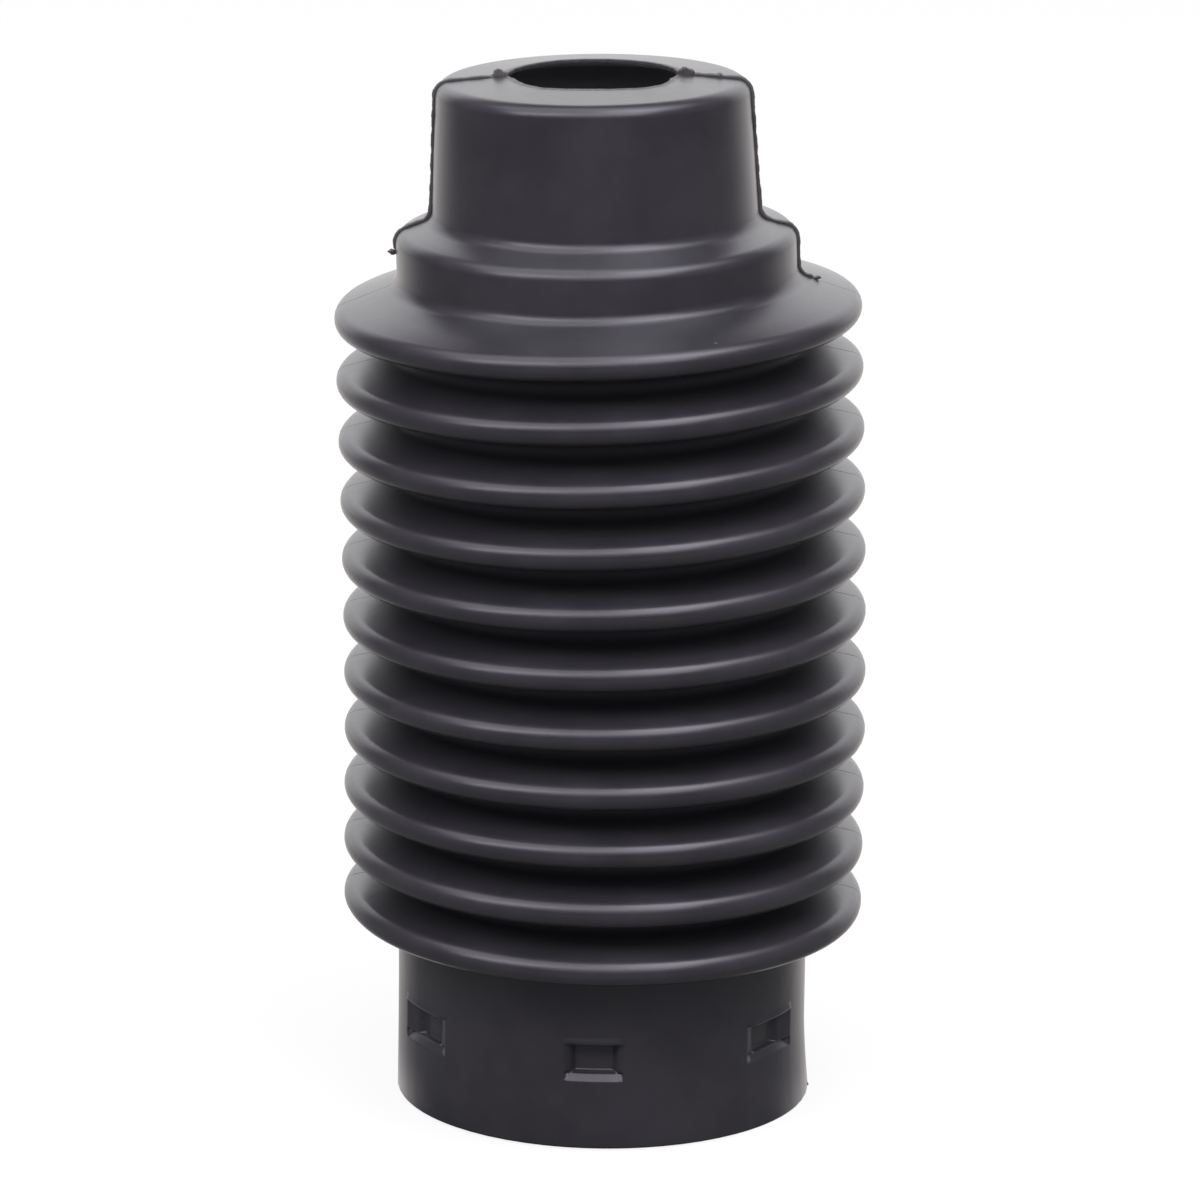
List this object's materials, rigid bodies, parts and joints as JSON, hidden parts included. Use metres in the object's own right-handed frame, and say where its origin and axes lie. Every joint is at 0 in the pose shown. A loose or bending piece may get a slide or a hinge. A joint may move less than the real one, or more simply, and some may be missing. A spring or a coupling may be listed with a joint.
{
  "type": "rubber bellows boot",
  "caption": "Round black rubber bellows boot with stacked folds, a stepped open neck above and a plain collar with small pressed pockets below.",
  "frame": {"origin": "middle of the collar's rim, on the plane the boot stands on", "axes": "+Z along the boot's axis from the collar to the neck, +X through the mould's parting line"},
  "size_m": [0.0722, 0.0722, 0.145],
  "materials": {
    "boot_rubber": "satin black thermoplastic rubber as it leaves the mould, with soft highlights on the folds"
  },
  "bodies": {
    "root": {"bellows_boot": "boot_rubber"}
  },
  "joints": []
}
